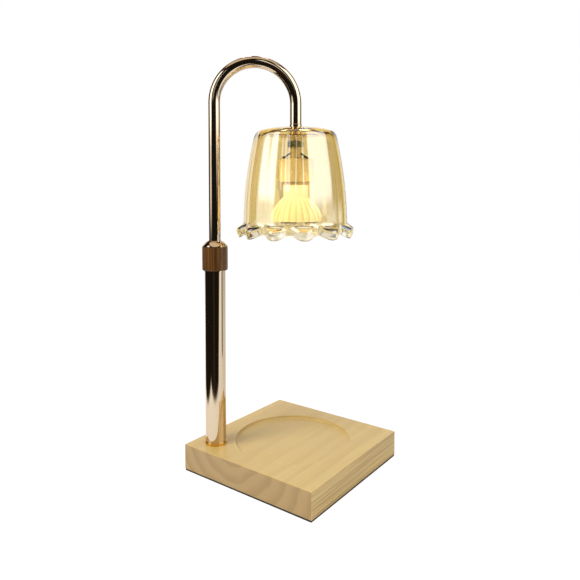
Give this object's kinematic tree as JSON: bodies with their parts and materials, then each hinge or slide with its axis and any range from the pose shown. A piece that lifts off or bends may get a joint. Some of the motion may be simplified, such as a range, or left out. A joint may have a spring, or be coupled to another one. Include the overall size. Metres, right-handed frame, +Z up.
{
  "type": "candle warmer lamp",
  "caption": "Candle warmer lamp: wood base with a candle recess, telescoping post with twist lock, swivelling gooseneck and ruffled amber glass shade over a twist-in spot bulb.",
  "frame": {"origin": "middle of the underside of the base, on the surface that the lamp stands on", "axes": "+Z up along the post; X and Y along the sides of the square base; the post stands in the -X -Y corner and the gooseneck reaches from it towards +X +Y, over the candle recess"},
  "size_m": [0.15, 0.15, 0.4018],
  "materials": {
    "pine": "clear satin, straight grain",
    "foam": "matte black foam",
    "gold": "polished champagne gold plate",
    "walnut": "gloss lacquer",
    "steel": "zinc plated",
    "raw_brass": "plain",
    "nylon": "moulded",
    "grommet": "matte",
    "lead_sheath": "matte black",
    "silicone": "translucent white",
    "amber_glass": "clear amber with a lustre coating",
    "ceramic": "unglazed cream",
    "bulb_glass": "ribbed reflector glass",
    "lens_glass": "clear",
    "burner": "glowing burner"
  },
  "bodies": {
    "base": {"wood_base": "pine", "base_pad": "foam", "lead_grommet": "grommet", "base_lead": "lead_sheath", "base_nipple": "steel", "base_washer": "steel", "base_nut": "steel", "foot_ring": "gold", "post_tube": "gold", "foot_insert": "steel", "post_lead": "lead_sheath", "collet": "raw_brass"},
    "collar": {"collar_nut": "gold", "collar_grip": "walnut"},
    "guide": {"guide_bush": "nylon"},
    "arm": {"gooseneck": "gold", "stop_rings": "steel", "neck_lead": "lead_sheath", "leg_insert": "raw_brass", "shade_rod": "steel", "shade_ferrule": "gold", "shade_gaskets": "silicone", "glass_shade": "amber_glass", "shade_nut": "gold", "lock_washer": "steel", "lock_nut": "steel", "holder_stem": "gold", "holder_cover": "ceramic", "holder_body": "ceramic", "holder_rivets": "steel", "holder_contacts": "raw_brass", "terminal_screws": "raw_brass", "holder_wires": "lead_sheath"},
    "bulb": {"bulb_base": "ceramic", "bulb_pins": "steel", "bulb_reflector": "bulb_glass", "bulb_lens": "lens_glass", "bulb_capsule": "burner"}
  },
  "joints": [
    {"name": "height", "type": "slide", "parent": "base", "child": "guide", "axis": [0, 0, 1], "range_m": [-0.0875, 0.0305], "deforming": ["post_lead"]},
    {"name": "swivel", "type": "hinge", "parent": "guide", "child": "arm", "pos_m": [-0.0537, -0.0537, 0.1422], "axis": [0, 0, 1], "range_deg": [-180, 180]},
    {"name": "collar_twist", "type": "hinge", "parent": "base", "child": "collar", "pos_m": [-0.0537, -0.0537, 0.1949], "axis": [0, 0, 1], "range_deg": [0, 180]},
    {"name": "bulb_twist", "type": "hinge", "parent": "arm", "child": "bulb", "pos_m": [0.00216, 0.00216, 0.28742], "axis": [0, 0, -1], "range_deg": [0, 40]}
  ]
}
